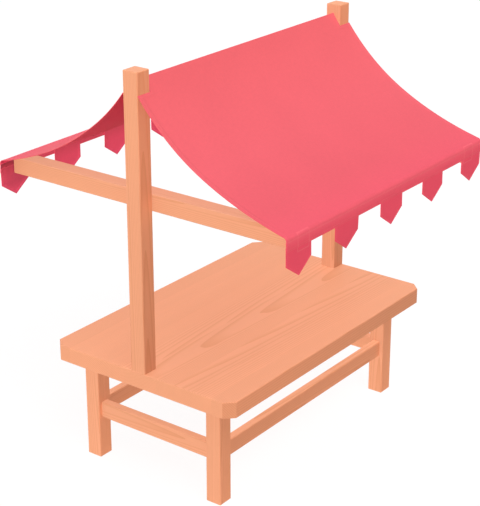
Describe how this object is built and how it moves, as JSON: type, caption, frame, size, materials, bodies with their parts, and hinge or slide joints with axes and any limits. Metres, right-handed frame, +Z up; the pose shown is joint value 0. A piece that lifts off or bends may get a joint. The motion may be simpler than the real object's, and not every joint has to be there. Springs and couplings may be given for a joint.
{
  "type": "wooden market stall",
  "caption": "Open-frame wooden market stall: slab counter on braced legs, posts and crossbars carrying a sagging cloth canopy with pointed valances.",
  "frame": {"origin": "middle of the stall's footprint on the ground, midway between the two posts and the two eaves", "axes": "+Z up; +X along the ridge and the counter, from the left post to the right one; -Y towards the front eave, +Y towards the back one"},
  "size_m": [2, 2, 2.467],
  "materials": {
    "timber": "planed pale softwood with a thin matt oil",
    "canvas": "woven coral-red cotton canvas, matt"
  },
  "bodies": {
    "root": {"table_top": "timber", "leg_front_left": "timber", "leg_front_right": "timber", "leg_back_left": "timber", "leg_back_right": "timber", "stretcher_front": "timber", "stretcher_back": "timber", "stretcher_left": "timber", "stretcher_right": "timber", "post_left": "timber", "post_right": "timber", "crossbar_left": "timber", "crossbar_right": "timber", "ridge_board": "timber", "canopy": "canvas", "valance_front": "canvas", "valance_back": "canvas", "valance_front_tab_1": "canvas", "valance_front_tab_2": "canvas", "valance_front_tab_3": "canvas", "valance_front_tab_4": "canvas", "valance_front_tab_5": "canvas", "valance_back_tab_1": "canvas", "valance_back_tab_2": "canvas", "valance_back_tab_3": "canvas", "valance_back_tab_4": "canvas", "valance_back_tab_5": "canvas"}
  },
  "joints": []
}
